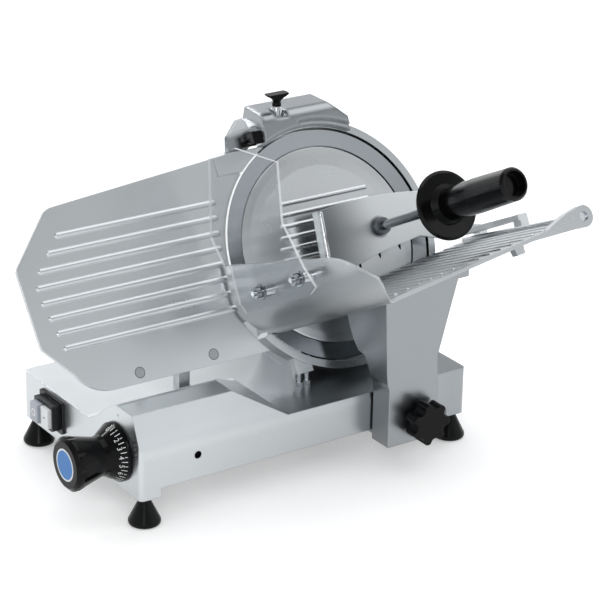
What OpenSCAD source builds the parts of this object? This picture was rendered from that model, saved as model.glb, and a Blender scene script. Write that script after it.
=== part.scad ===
// Gravity deli slicer: tilted blade on a cast base, sliding carriage with a ribbed tray,
// pusher on a rod, gauge plate moved by a scroll behind the thickness dial.
// Built from the base's front left corner at table level: X along the carriage, Y to the back.

/* [Base] */
// Width of the base casting
base_w = 452; // [446:1:470]
// Depth of the base casting
base_d = 270; // [266:1:284]
// Height of the base's lower edge above the table
base_lift = 33; // [31:0.5:36]
// Height of the base from its lower edge to the flat deck
base_h = 59; // [58:0.5:62]
// Wall of the base casting
base_wall = 4; // [3:0.5:4.5]
// Radius of the base's upright corners
base_corner = 6; // [3:1:9]
// Height of the front ridge above the deck
ridge_h = 40; // [36:1:42]
// Length of the ridge's level top
ridge_len = 130; // [124:1:140]
// Length of the slope at the ridge's right end
ridge_run = 67; // [55:1:80]
// Depth of the ridge's front slope
ridge_lean = 17; // [14:1:18]
// Depth of the ridge's level top
ridge_top = 31; // [26:1:34]
// Depth of the ramp from the ridge down to the deck
ramp_run = 72; // [66:1:76]
// Raised part of the front face's lower edge, for the carriage arm
arm_gap = 11; // [10.5:0.5:14]
// Distance of each foot's centre from the base's sides
foot_in = 12; // [11:0.5:15]
// Radius of a foot on the table
foot_r = 18.8; // [15:0.2:20]
// Radius of the oiling hole in the front face
oil_r = 4.6; // [3:0.2:6]

/* [Blade and head] */
// Radius of the blade
blade_r = 137.5; // [134:0.5:139]
// Lean of the blade from upright, in degrees
blade_tilt = 28; // [27:0.5:29]
// Place of the blade's centre along the base
blade_x = 332; // [328:1:336]
// Place of the blade's centre from the front
blade_y = 120; // [118:0.5:122]
// Height of the blade's centre
blade_z = 235; // [234:0.5:240]
// Radius of the blade cover
cover_r = 117.5; // [110:0.5:119]
// Gap between the blade's edge and the guard ring
ring_gap = 2.5; // [2:0.25:4]
// Wall of the guard ring
ring_wall = 9; // [7:0.5:10]
// Depth of the guard ring behind the blade's edge
ring_deep = 18; // [17:0.5:19]
// Radius of the hollow blade shaft
shaft_r = 10; // [8:0.25:11]
// Radius of the motor
motor_r = 46; // [40:0.5:47]
// Length of the motor
motor_len = 58; // [50:1:60]

/* [Gauge plate] */
// Thickness of the gauge plate
gauge_t = 5; // [4:0.25:6]
// Length of the gauge plate to the left of the blade's centre
gauge_len = 404; // [396:1:410]
// Height of the gauge plate above the blade's centre, at its left end
gauge_up = 109; // [100:1:114]
// Depth of the gauge plate below the blade's centre
gauge_down = 106; // [104:0.5:107]
// Number of ribs on the gauge plate
rib_count = 8; // [6:1:8]
// Distance between the gauge plate's ribs
rib_pitch = 17.8; // [15:0.1:18]
// Travel of the gauge plate away from the blade
gauge_travel = 14; // [10:0.5:15]

/* [Dial and switch] */
// Radius of the dial's skirt
dial_r = 34.5; // [30:0.5:36]
// Place of the dial's axis from the front
dial_y = 52; // [50:0.5:54]
// Height of the dial's axis
dial_z = 75; // [74.5:0.25:77]
// Length of the dial from the base to its face
dial_len = 66; // [60:1:72]
// Turn of the dial from closed to fully open, in degrees
dial_turn = 322; // [300:1:330]
// Radius of the dial shaft
dial_shaft_r = 7; // [6:0.25:8]

/* [Carriage] */
// Radius of the round guide rod
rod_r = 8; // [7:0.25:9]
// Place of the guide rod from the front
rod_y = 100; // [98:0.5:103]
// Place of the carriage foot's left side along the base
foot_x = 314; // [306:1:320]
// Width of the carriage foot
foot_w = 70; // [66:1:74]
// Wall of the tray casting
tray_wall = 4.5; // [3.5:0.25:5]
// Place of the tray's upright wall to the left of the blade's centre
fence_s = 149; // [146:0.5:152]
// Radius of the bend between the tray's wall and floor
tray_bend = 55; // [50:1:58]
// Rise of the tray's floor to the right, in degrees
tray_rise = 7.9; // [7:0.1:9]
// Length of the tray out from the blade
tray_len = 232; // [222:1:240]
// Place of the tray floor's right edge past the blade's centre
tray_end = 192; // [186:0.5:192]
// Radius of the pusher's rod
push_rod_r = 6; // [5:0.25:7]

/* [Hidden] */
$fn = 96;
EPS = 0.01;

// Running clearance of a shaft in its bore
RUN = 0.05;
// Gap left between pieces that pass each other
CLEAR = 0.4;

deck_z = base_lift + base_h;
ridge_z = deck_z + ridge_h;
ramp_y = ridge_lean + ridge_top;
cavity_z = deck_z - base_wall;
plate_t = 2;
stud_r = 3;
boss_r = 9;
boss_h = 24;

rod_z = base_lift + 23;
truck_h = 12;
truck_w = foot_w - 12;
bush_wall = 2.5;
truck_d = 2 * (rod_r + bush_wall + 4);
arm_z0 = base_lift + 3;
arm_z1 = base_lift + arm_gap - 1;
rail_z0 = base_lift + 14;
rail_h = 6;
rail_d = 9;
roller_r = 10;
roller_w = 7.4;
axle_r = 3;
roller_x = foot_x + foot_w / 2;
roller_y = base_wall + rail_d / 2;
roller_z = rail_z0 + rail_h + roller_r;

slide_z0 = rod_z + truck_h + 3;
slide_z1 = cavity_z - 1.5;
slide_x = 105;
slide_w = 74;
guide_r = 5;
guide_dx = 26;
guide_z = (slide_z0 + slide_z1) / 2;
slide_y0 = 104;
slide_len = 46;
lug_w = 8;
post_w = 14;
post_y0 = 78;
post_d = 13;
cam_x0 = base_wall + 6.5;
cam_t = 8;
cam_r = 31;
groove_r0 = 12;
pin_r = 2.5;
groove_half = pin_r + CLEAR;
groove_deep = 5;
pin_y = dial_y + groove_r0;

ring_r0 = blade_r + ring_gap;
ring_r1 = ring_r0 + ring_wall;
ring_from = -143;
ring_to = 112;
web_t = 6;
web_cut = -58;
hub_r = 27;
bearing_r = 21;
bearing_w = 12;
hub_back = 60;
pulley_n = 98;
pulley_w = 11;
blade_pulley_r = 42;
motor_pulley_r = 16;
motor_s = 46;
motor_t = -62;
case_back = 106;
case_wall = 3;
case_r = 64;
tie_r = 4;
belt_t = 2.5;

plate_front = -2;
rib_h = 1.7;
rib_half = 3.4;
plate_arc = ring_r0 + 1;
plate_clear = ring_r1 + 6;
bar_t = 11;
bar_h = 20;
screw_t = -94;
screw_s = [-286, -188];

tray_n0 = 4;
bend_s = -fence_s + tray_bend;
bend_t = -34;
floor_s = bend_s + tray_bend * sin(tray_rise);
floor_t = bend_t - tray_bend * cos(tray_rise);
fence_top = 2;
push_s = 205;
push_t = -44.5;
eye_r = 11;
bush_r = push_rod_r + 2;
eyes = [[12, 24], [96, 110]];
lug_r = 13;
plate_n = 22;
handle_s = 58;
handle_t = 5;
handle_r = 5.5;
guard_n = 166;
guard_r = 40.5;
grip_r = 19.5;
grip_end = 305;
shield_s = -fence_s - 13;
shield_t = 3;
nut_at = [[97, -40], [182, -38]];
star_at = [foot_x + foot_w * 0.65, -32, base_lift + 29.5];

// Points of an arc about a centre
function arc(c, r, a0, a1, n = 24) = [for (i = [0:n]) let (a = a0 + (a1 - a0) * i / n) c + r * [cos(a), sin(a)]];
// Smooth step from 0 to 1
function ease(x) = x * x * (3 - 2 * x);
// Height of the tray's lower surface at a place along it, outside the bend
function floor_under(s) = floor_t + (s - floor_s) * tan(tray_rise);
// Outline round two circles, with their outer tangents
function loop(c0, r0, c1, r1) = let (d = c1 - c0, a = atan2(d[1], d[0]), b = acos((r0 - r1) / norm(d)))
    concat(arc(c0, r0, a + b, a + 360 - b, 40), arc(c1, r1, a - b, a + b, 40));
// Outline of a rectangle with round corners
function round_rect(x0, y0, x1, y1, r) = concat(arc([x1 - r, y1 - r], r, 0, 90, 8), arc([x0 + r, y1 - r], r, 90, 180, 8),
    arc([x0 + r, y0 + r], r, 180, 270, 8), arc([x1 - r, y0 + r], r, 270, 360, 8));

// Moves the corner frame so that the origin lies under the front left foot's centre
module placed() translate([-foot_in, -foot_in, 0]) children();
// Frame of the blade: x along the base, y up the blade, z out of its face towards the tray
module on_blade() translate([blade_x, blade_y, blade_z]) rotate([90 - blade_tilt, 0, 0]) children();
// Outline in Y and Z, carried along X
module along_x(x0, x1) translate([x0, 0, 0]) rotate([90, 0, 90]) linear_extrude(x1 - x0) children();
// Outline in X and Z, carried along Y
module along_y(y0, y1) translate([0, y1, 0]) rotate([90, 0, 0]) linear_extrude(y1 - y0) children();
module along_z(z0, z1) translate([0, 0, z0]) linear_extrude(z1 - z0) children();
module box(a, b) translate(a) cube(b - a);
module rod_x(x0, x1, y, z, r) translate([x0, y, z]) rotate([0, 90, 0]) cylinder(h = x1 - x0, r = r);
module rod_y(x, y0, y1, z, r) translate([x, y0, z]) rotate([-90, 0, 0]) cylinder(h = y1 - y0, r = r);
module rod_z(x, y, z0, z1, r) translate([x, y, z0]) cylinder(h = z1 - z0, r = r);
module tube_z(z0, z1, r1, r0) along_z(z0, z1) difference() {
    circle(r1);
    circle(r0);
}

// Round-topped rib along x with round ends: half its width and its height above the face at z are given
module round_rib(x0, x1, y, z, half, h) let (r = (half * half + h * h) / (2 * h), len = x1 - x0 - 2 * half + 2 * r)
    intersection() {
        translate([x0 + half - r, y, z + h - r]) rotate([0, 90, 0]) rotate_extrude($fn = 48)
            polygon(concat(arc([0, r], r, -90, 0, 8), arc([0, len - r], r, 0, 90, 8)));
        box([x0 - 1, y - half - 1, z - 0.4], [x1 + 1, y + half + 1, z + h + 1]);
    }

// Side outline of the base: front face, ridge, ramp and deck, drawn in by the wall for the cavity
function base_section(w) = concat(
    [[w, base_lift - w]],
    [for (i = [0:8]) let (u = i / 8, a = [w, deck_z - 0.6 * w - 13], b = [w, deck_z - 0.6 * w], c = b + 0.4 * [ridge_lean, ridge_h])
        (1 - u) * (1 - u) * a + 2 * u * (1 - u) * b + u * u * c],
    [[ridge_lean + 0.6 * w, ridge_z - w]],
    [for (i = [0:12]) let (u = i / 12)
        [ramp_y + ramp_run * u - 0.5 * w, deck_z - w + ridge_h * (1 - ease(u))]],
    [[base_d - w, deck_z - w], [base_d - w, base_lift - w]]);
// Part above the deck that the ridge's right end slopes away from
module ridge_end(w) along_y(-1, base_d + 1)
    polygon([[ridge_len - w, ridge_z - w], [ridge_len + ridge_run - 1.5 * w, deck_z - w], [base_w + 1, deck_z - w],
        [base_w + 1, ridge_z + 1], [ridge_len - w, ridge_z + 1]]);
module base_block(w) difference() {
    along_x(w, base_w - w) polygon(base_section(w));
    ridge_end(w);
}
module at_feet() for (x = [foot_in, base_w - foot_in], y = [foot_in, base_d - foot_in]) translate([x, y, 0]) children();
module at_lugs() for (x = [slide_x - guide_dx, slide_x + guide_dx]) translate([x, 0, 0]) children();

module base_casting() color("silver") difference() {
    union() {
        difference() {
            intersection() {
                base_block(0);
                along_z(base_lift, ridge_z) polygon(round_rect(0, 0, base_w, base_d, base_corner));
            }
            base_block(base_wall);
        }
        at_feet() cylinder_between(base_lift + plate_t, base_lift + boss_h, boss_r);
        for (x = [[base_wall - 1, base_wall + 12], [base_w - base_wall - 12, base_w - base_wall + 1]])
            rod_x(x[0], x[1], rod_y, rod_z, rod_r + 5);
        rod_x(base_wall - 1, base_wall + 6, dial_y, dial_z, dial_shaft_r + 8);
        at_lugs() {
            box([-9, slide_y0 - 6 - lug_w, slide_z0], [9, slide_y0 - 6, deck_z + 6]);
            box([-9, slide_y0 + slide_len + gauge_travel + 6, slide_z0],
                [9, slide_y0 + slide_len + gauge_travel + 6 + lug_w, deck_z - 1]);
        }
    }
    at_feet() rod_z(0, 0, base_lift - 1, base_lift + boss_h - 3, stud_r + RUN);
    rod_x(base_wall, base_w - base_wall, rod_y, rod_z, rod_r + RUN);
    rod_x(-1, base_wall + 7, dial_y, dial_z, dial_shaft_r + 4 + RUN);
    at_lugs() rod_y(0, slide_y0 - 7 - lug_w, slide_y0 + slide_len + gauge_travel + 7 + lug_w, guide_z, guide_r + RUN);
    box([slide_x - post_w / 2 - 2, post_y0 - 2, cavity_z - 1],
        [slide_x + post_w / 2 + 2, post_y0 + post_d + gauge_travel + 2, ridge_z]);
    box([2 * foot_in + 3, -1, base_lift - 1], [base_w - 2 * foot_in - 3, base_wall + 1, base_lift + arm_gap]);
    box([-1, switch_y0 + 6, switch_z0 + 6], [base_wall + 1, switch_y1 - 6, switch_z1 - 6]);
    rod_y(75, -1, base_wall + 1, base_lift + 40, oil_r);
    rod_x(-1, 1.2, dial_y - 4, dial_z + 46, 1.1);
    rod_z(blade_x + motor_s, blade_y + 12, cavity_z - 1, deck_z + 1, 9);
}
module cylinder_between(z0, z1, r) translate([0, 0, z0]) cylinder(h = z1 - z0, r = r);

module bottom_plate() color("gainsboro") difference() {
    along_z(base_lift, base_lift + plate_t)
        polygon(round_rect(base_wall + 0.2, rod_y + 26, base_w - base_wall - 0.2, base_d - base_wall - 0.2, 4));
    at_feet() rod_z(0, 0, base_lift - 1, base_lift + plate_t + 1, stud_r + 0.3);
    for (i = [0:6]) box([250 + i * 14, rod_y + 60, base_lift - 1], [256 + i * 14, rod_y + 120, base_lift + plate_t + 1]);
}

// Cone of black rubber on a threaded stud; the front pair stands against the bosses
module rubber_feet() color("#1c1c1e") at_feet() {
    rotate_extrude() polygon([[0, 0], [foot_r - 2.2, 0], [foot_r - 0.7, 1.1], [foot_r, 3], [foot_r - 0.2, 5.4], [foot_r - 1.3, 7.6],
        [7, base_lift - 4], [7, base_lift], [0, base_lift]]);
    rod_z(0, 0, base_lift - EPS, base_lift + boss_h - 4, stud_r);
}

module guide_rod() color("lightsteelblue") rod_x(base_wall, base_w - base_wall, rod_y, rod_z, rod_r);
module roller_rail() color("lightsteelblue")
    box([2 * foot_in, base_wall, rail_z0], [base_w - 2 * foot_in, base_wall + rail_d, rail_z0 + rail_h]);
module gauge_guide_rods() color("lightsteelblue") at_lugs()
    rod_y(0, slide_y0 - 6 - lug_w, slide_y0 + slide_len + gauge_travel + 6 + lug_w, guide_z, guide_r);

// Dial side
module dial_bush() color("peru") difference() {
    rod_x(0, base_wall + 6, dial_y, dial_z, dial_shaft_r + 4);
    rod_x(-1, base_wall + 7, dial_y, dial_z, dial_shaft_r + RUN);
}
switch_y0 = 172;
switch_y1 = 226;
switch_z0 = base_lift + 13;
switch_z1 = base_lift + 53;
button_w = 17;
button_h = 23;
button_gap = 0.4;
stop_y = 208.5;
start_y = 188.5;
button_z = (switch_z0 + switch_z1) / 2;
module button_cut(y, g, x0, x1) box([x0, y - button_w / 2 - g, button_z - button_h / 2 - g],
    [x1, y + button_w / 2 + g, button_z + button_h / 2 + g]);
module switch_box() color("#202124") difference() {
    union() {
        along_x(-3, 0) polygon(round_rect(switch_y0, switch_z0, switch_y1, switch_z1, 3));
        along_x(-13, -3 + EPS) polygon(round_rect(switch_y0 + 5, switch_z0 + 4, switch_y1 - 5, switch_z1 - 4, 3));
        box([-EPS, switch_y0 + 6.4, switch_z0 + 6.4], [22, switch_y1 - 6.4, switch_z1 - 6.4]);
    }
    button_cut(stop_y, button_gap, -14, 4);
    button_cut(start_y, button_gap, -14, 4);
}
module push_button(y, x0) difference() {
    button_cut(y, 0, x0, 0);
    for (a = [-1, 1]) translate([x0, y + a * (button_w / 2 + 0.6), button_z]) rotate([0, 0, 45])
        cube([1.6, 1.6, button_h + 2], center = true);
}
module stop_button() color("#8f9296") push_button(stop_y, -21);
module start_button() color("whitesmoke") push_button(start_y, -18);

// Dial with a ticked skirt and a fluted grip that widens outwards
module dial_knob() color("#151517") translate([0, dial_y, dial_z]) rotate([0, -90, 0]) difference() {
    rotate_extrude() polygon([[dial_shaft_r + 0.02, 0.6], [dial_r, 0.6], [dial_r, 3.6], [24, 20], [23, 26], [24, 30],
        [31.5, dial_len - 8], [31.5, dial_len - 4], [27, dial_len], [0, dial_len], [0, 30], [dial_shaft_r + 0.02, 30]]);
    for (i = [0:7]) rotate([0, 0, i * 45]) translate([37.5, 0, 27]) rotate([0, 4, 0]) cylinder(h = dial_len, r = 9.5);
    cylinder_between(dial_len - 1, dial_len + 1, 19);
}
module dial_disc() color("steelblue") rod_x(-dial_len - 0.2, -dial_len + 1, dial_y, dial_z, 18.9);
module dial_shaft() color("lightsteelblue") rod_x(-30, cam_x0 + cam_t, dial_y, dial_z, dial_shaft_r);

// Scroll groove whose radius grows evenly with the dial's turn and drives the follower pin
function scroll(a, off) = (groove_r0 + gauge_travel * a / dial_turn + off) * [cos(a), sin(a)];
module scroll_cam() color("darkgray") translate([0, dial_y, dial_z]) rotate([90, 0, 90]) difference() {
    tube_z(cam_x0, cam_x0 + cam_t, cam_r, dial_shaft_r + 0.02);
    along_z(cam_x0 + cam_t - groove_deep, cam_x0 + cam_t + 1) {
        polygon(concat([for (i = [-4:120]) scroll(dial_turn * i / 119, groove_half)],
            [for (i = [120:-1:-4]) scroll(dial_turn * i / 119, -groove_half)]));
        for (i = [-4, 120]) translate(scroll(dial_turn * i / 119, 0)) circle(groove_half);
    }
}

// Gauge plate: a cast panel with cut corners, raised ribs and an edge that follows the blade
gauge_rise = 20;
function gauge_outline() = concat(
    arc([-gauge_len + 14, 42], 14, 180, 135, 6), arc([-gauge_len + 62, gauge_up - 18], 18, 135, 94, 6),
    [[-100, gauge_up + gauge_rise], [-60, gauge_up + gauge_rise]],
    [[-60, -gauge_down]], arc([-gauge_len + 84, -gauge_down + 52], 52, 270, 208, 10),
    arc([-gauge_len + 32, -36], 26, 200, 186, 4));
module gauge_panel(cut) difference() {
    polygon(gauge_outline());
    circle(plate_arc + cut);
    intersection() {
        circle(plate_clear + cut);
        polygon([[0, 0], 400 * [cos(206), sin(206)], [-200, -400], [400, -400]]);
    }
    translate([-124, 105]) square([200, 60]);
}
module gauge_plate() color("#c9cdd0") on_blade() difference() {
    union() {
        along_z(plate_front - gauge_t, plate_front) gauge_panel(0);
        for (i = [0:rib_count - 1]) let (y = 76 - i * rib_pitch, left = rib_left(y), right = -plate_arc - 4 - abs(y) * -0.12)
            round_rib(left, right, y, plate_front, rib_half, rib_h);
    }
    for (s = screw_s) translate([s, screw_t, 0]) cylinder_between(plate_front - 2.5, plate_front + 1, 6.1);
}
function rib_left(y) = y > 34 ? -gauge_len + 20 + (y - 34) * 0.85 : -gauge_len + 18 + max(0, 10 - y) * 0.26;
// Bar behind the plate's lower edge and the post that carries it
module gauge_support() color("darkgray") union() {
    on_blade() box([-312, screw_t - 10, plate_front - gauge_t - bar_t], [-152, screw_t + 10, plate_front - gauge_t]);
    difference() {
        box([slide_x - post_w / 2, post_y0, slide_z1], [slide_x + post_w / 2, post_y0 + post_d, blade_z - 90]);
        on_blade() box([-400, -200, plate_front - gauge_t - 1], [0, 0, 60]);
    }
}
module gauge_slide() color("slategray") difference() {
    union() {
        box([slide_x - slide_w / 2, slide_y0, slide_z0], [slide_x + slide_w / 2, slide_y0 + slide_len, slide_z1]);
        box([slide_x - post_w / 2 - 1.5, pin_y - 5, slide_z0], [slide_x + post_w / 2 + 1.5, slide_y0 + 1, slide_z1]);
        box([cam_x0 + cam_t + 2, pin_y - 5, slide_z0], [slide_x, pin_y + 6, dial_z + 5]);
    }
    at_lugs() rod_y(0, slide_y0 - 1, slide_y0 + slide_len + 1, guide_z, guide_r + RUN);
    rod_x(cam_x0, cam_x0 + cam_t + 10, pin_y, dial_z, pin_r + 0.02);
}
module follower_pin() color("lightsteelblue")
    rod_x(cam_x0 + cam_t - groove_deep + 0.6, cam_x0 + cam_t + 10, pin_y, dial_z, pin_r);
module gauge_screws() color("gray") on_blade() for (s = screw_s) translate([s, screw_t, 0])
    cylinder_between(plate_front - 2.5, plate_front, 6);

// Head: guard ring, back web, bearing hub and post lug in one casting
post_s = [-80, -69];
lug_t = -ring_r1 + 8;
lug_n = -8;
post_top = blade_z + lug_t * cos(blade_tilt) + lug_n * sin(blade_tilt);
post_at_y = blade_y + lug_t * sin(blade_tilt) - lug_n * cos(blade_tilt);
module ring_sector() difference() {
    circle(ring_r1);
    circle(ring_r0);
    polygon(concat([[0, 0]], arc([0, 0], 400, ring_to, 360 + ring_from, 12)));
}
module head_casting() color("#b9bdc0") difference() {
    on_blade() union() {
        along_z(-ring_deep, 2) ring_sector();
        along_z(-ring_deep, web_t - ring_deep) intersection() {
            circle(ring_r0 + 2);
            translate([web_cut, -200]) square([400, 400]);
        }
        cylinder_between(-hub_back, web_t - ring_deep, hub_r);
        along_z(lug_n - 6, lug_n + 6) difference() {
            translate([post_s[0] - 6, lug_t]) square([post_s[1] - post_s[0] + 12, 30]);
            circle(ring_r0 + 3);
        }
    }
    on_blade() cylinder_between(-hub_back - 1, 1, bearing_r);
    for (s = post_s) rod_z(blade_x + s, post_at_y, post_top - 8, post_top + 6, 2.4 + RUN);
}
module ring_posts() color("gainsboro") for (s = post_s) {
    rod_z(blade_x + s, post_at_y, deck_z, post_top + 5, 2.4);
    translate([blade_x + s, post_at_y, deck_z]) cylinder(h = 5, r = 4.4, $fn = 6);
}
module blade_bearings() color("lightsteelblue") on_blade() for (z = [-hub_back + 1, -ring_deep - bearing_w + 4])
    tube_z(z, z + bearing_w, bearing_r - 0.02, shaft_r + 0.02);

// Casing behind the head that stands on the deck and holds the motor and the belt
module case_outline(w) {
    polygon(loop([0, 0], case_r - w, [motor_s, motor_t], case_r - 4 - w));
    translate([-case_r + w, -260]) square([case_r + motor_s + case_r - 4 - 2 * w, 260 + motor_t]);
    translate([-case_r + w, motor_t - 1]) square([case_r - w, 1 - motor_t]);
}
case_front_y = 92;
case_step_z = deck_z + 24;
module motor_housing() color("#c4c8ca") difference() {
    intersection() {
        on_blade() along_z(-case_back, -ring_deep) case_outline(0);
        box([0, 0, deck_z], [base_w, base_d + 60, 400]);
    }
    box([0, 0, 0], [base_w, case_front_y, case_step_z]);
    difference() {
        on_blade() along_z(-case_back + case_wall, -ring_deep + 1) case_outline(case_wall);
        box([0, 0, 0], [base_w, case_front_y + case_wall, case_step_z + case_wall]);
    }
    on_blade() cylinder_between(-case_back - 1, 0, tie_r + 0.4);
}
module motor_body() color("#3a3d40") on_blade() translate([motor_s, motor_t, 0]) difference() {
    union() {
        tube_z(-ring_deep - motor_len, -ring_deep, motor_r, 5);
        for (i = [0:17]) rotate([0, 0, i * 20])
            box([motor_r - 1, -1.2, -ring_deep - motor_len + 6], [motor_r + 4, 1.2, -ring_deep - 6]);
    }
}
module motor_shaft() color("lightsteelblue") on_blade() translate([motor_s, motor_t, 0])
    cylinder_between(-pulley_n - 1, -ring_deep - 2, 5 - RUN);
module grooved(z0, z1, r) difference() {
    cylinder_between(z0, z1, r);
    for (i = [0:3]) translate([0, 0, z0 + (z1 - z0) * (i + 1) / 5]) rotate_extrude()
        polygon([[r + 0.5, -1], [r + 0.5, 1], [r - 1.2, 0]]);
}
module motor_pulley() color("darkgray") on_blade() translate([motor_s, motor_t, 0]) difference() {
    grooved(-pulley_n, -pulley_n + pulley_w, motor_pulley_r);
    cylinder_between(-pulley_n - 1, 0, 5 - RUN + 0.02);
}
module blade_pulley() color("darkgray") on_blade() difference() {
    grooved(-pulley_n, -pulley_n + pulley_w, blade_pulley_r);
    cylinder_between(-pulley_n - 1, 0, shaft_r + 0.02);
}
module drive_belt() color("#26272a") on_blade() along_z(-pulley_n + 1, -pulley_n + pulley_w - 1) difference() {
    polygon(loop([0, 0], blade_pulley_r + CLEAR + belt_t, [motor_s, motor_t], motor_pulley_r + CLEAR + belt_t));
    polygon(loop([0, 0], blade_pulley_r + CLEAR, [motor_s, motor_t], motor_pulley_r + CLEAR));
}
// Curved plate behind the blade that turns slices away, screwed to the casing's side
module slice_deflector() color("gainsboro") on_blade() difference() {
    rotate([90, 0, 0]) translate([0, 0, -50]) linear_extrude(100)
        polygon(concat(arc([-case_r - 40, -60], 40, 0, 62, 12), arc([-case_r - 40, -60], 38.4, 62, 0, 12)));
    cylinder_between(-200, 0, 20);
}
// Blade: hollow-ground disc, recessed in front for its cover
module blade() color("gainsboro") on_blade() difference() {
    rotate_extrude($fn = 180) polygon([[shaft_r + 0.02, -9], [130, -7], [blade_r, -0.6], [blade_r, 0], [cover_r + 1.2, -1.3],
        [cover_r + 1.2, -5], [shaft_r + 0.02, -5]]);
    for (i = [0:3]) rotate([0, 0, 45 + i * 90]) translate([20, 0, -10]) cylinder(h = 10, r = 2.55);
}
module blade_shaft() color("lightsteelblue") on_blade() difference() {
    union() {
        cylinder_between(-pulley_n - 1, -5, shaft_r);
        cylinder_between(-11, -9, 26);
    }
    cylinder_between(-pulley_n - 2, 0, tie_r + 1);
}
module blade_screws() color("gray") on_blade() for (i = [0:3]) rotate([0, 0, 45 + i * 90]) translate([20, 0, 0]) {
    cylinder_between(-9, -5, 2.5);
    cylinder_between(-5, -4.8, 4);
}
cover_front = -1.3;
cover_flat = 0.3;
cover_step = 95;
module blade_cover() color("#d7dadc") on_blade() {
    rotate_extrude($fn = 180) polygon([[tie_r + 0.02, -4.4], [cover_r - 1, -4.4], [cover_r, -3.4], [cover_r, cover_front - 1],
        [cover_r - 1, cover_front - 0.2], [cover_step + 12, cover_flat - 0.5], [cover_step, cover_flat], [0, cover_flat],
        [0, -2.4], [tie_r + 0.02, -2.4]]);
    for (i = [0:6]) let (y = 57 - i * 13.2) round_rib(-70 + abs(y) * 0.3, 72, y, cover_flat, 2.6, 1.3);
}
module cover_tie_rod() color("lightsteelblue") on_blade() cylinder_between(-case_back - 16, -2.4, tie_r);
module cover_knob() color("#151517") on_blade() difference() {
    union() {
        cylinder_between(-case_back - 6, -case_back - 0.4, 11);
        cylinder_between(-case_back - 18, -case_back - 6, 20);
    }
    for (i = [0:7]) rotate([0, 0, i * 45]) translate([23.5, 0, -case_back - 19]) cylinder(h = 14, r = 6);
    cylinder_between(-case_back - 16, 0, tie_r + RUN);
}

// Sharpener on top of the ring: hood with a rounded front over the blade's upper edge, box behind it,
// and two stones on a pin inside
hood_r = ring_r1 + 0.2;
hood_lip = ring_r0 + 1.5;
hood_z = blade_z + hood_r * cos(blade_tilt) + 17.5;
hood_face = 11;
hood_back = -36;
hood_round = 14;
hood_y = blade_y + (hood_z - blade_z - hood_face * sin(blade_tilt)) * tan(blade_tilt) - hood_face * cos(blade_tilt);
box_z = hood_z - 21.5;
wing_at = [blade_x - 27, hood_y + 10, hood_z - 6.4];
button_at = [-67, 139.5];
stem_at = [-68, 144];
module hood_front(r) difference() {
    polygon([[-60, 100], [-59, 131], [-49, 190], [70, 190], [66, 100]]);
    circle(r);
}
module hood_body() intersection() {
    on_blade() {
        along_z(3, hood_face) hood_front(hood_lip);
        along_z(hood_back, 3 + EPS) hood_front(hood_r);
    }
    along_x(blade_x - 80, blade_x + 80) polygon(concat([[hood_y + 44, hood_z - 3], [hood_y + 41, hood_z]],
        arc([hood_y + hood_round * (1 - sin(blade_tilt)) / cos(blade_tilt), hood_z - hood_round], hood_round, 90, 180 - blade_tilt, 10),
        [[hood_y - 90 * sin(blade_tilt), hood_z - 90 * cos(blade_tilt)], [hood_y + 44, hood_z - 90 * cos(blade_tilt)]]));
    along_y(0, 400) polygon([[blade_x - 80, hood_z - 120], [blade_x - 80, hood_z + 1], [blade_x + 41, hood_z + 1],
        [blade_x + 63, hood_z - 17], [blade_x + 66, hood_z - 120]]);
}
module hood_box() intersection() {
    on_blade() along_z(hood_back, -8) difference() {
        polygon([[-104, 118], [-100, 190], [-40, 190], [-40, 118]]);
        circle(hood_r);
    }
    along_y(0, 400) polygon([[blade_x - 120, box_z - 60], [blade_x - 120, box_z - 3], [blade_x - 30, box_z + 9.6], [blade_x - 30, box_z - 60]]);
    along_z(hood_z - 120, hood_z + 20) polygon([[blade_x - 120, hood_y - 40], [blade_x - 99.5, hood_y + 10], [blade_x - 64.5, hood_y + 44],
        [blade_x, hood_y + 44], [blade_x, hood_y - 40]]);
}
module sharpener_hood() color("#cfd3d5") difference() {
    union() {
        hood_body();
        hood_box();
    }
    on_blade() {
        box([-6, 0, hood_back + 4], [24, hood_r + 15.5, -2]);
        box([stem_at[0] - 4.4, stem_at[1] - 4.4, -28], [stem_at[0] + 4.4, stem_at[1] + 4.4, 0]);
        along_z(hood_face - 3, hood_face + 1) difference() {
            polygon([[-2, 100], [-8, 160], [80, 160], [80, 100]]);
            difference() {
                square(400, center = true);
                circle(hood_r - 0.8);
            }
        }
    }
    rod_z(wing_at[0], wing_at[1], wing_at[2] - 9, hood_z + 1, 4 + RUN);
    rod_z(wing_at[0], wing_at[1], wing_at[2], hood_z + 1, 9);
    box([wing_at[0] - 9, wing_at[1] - 40, wing_at[2]], [wing_at[0] + 9, wing_at[1], hood_z + 1]);
}
module sharpener_stones() color("#8d6f5a") on_blade() translate([9, ring_r1 + 9, 0]) {
    for (z = [-30, -12]) cylinder_between(z, z + 9, 6.4);
    cylinder_between(hood_back + 4, -3, 2.5);
}
// Chromed collar round the foot of the wing knob
module sharpener_ferrule() color("gainsboro") translate(wing_at) difference() {
    rotate_extrude() polygon([[0, 0], [7.6, 0], [7.6, 8], [6.4, 10.5], [6.4, 12], [0, 12]]);
    cylinder_between(-1, 13, 4 + RUN);
}
// Upright knob, round at its foot and spread into a flat wing
module sharpener_knob() color("#151517") translate(wing_at) difference() {
    rotate_extrude() polygon([[0, -8], [4, -8], [4, 12.4], [5.6, 12.4], [5.6, 14.4], [4.8, 16], [5.4, 19], [8.6, 22], [13.4, 24.6],
        [15, 26], [14.4, 27], [0, 27]]);
    for (y = [-20, 5.8]) box([-16, y, 17], [16, y + 14.2, 28]);
}
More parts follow.
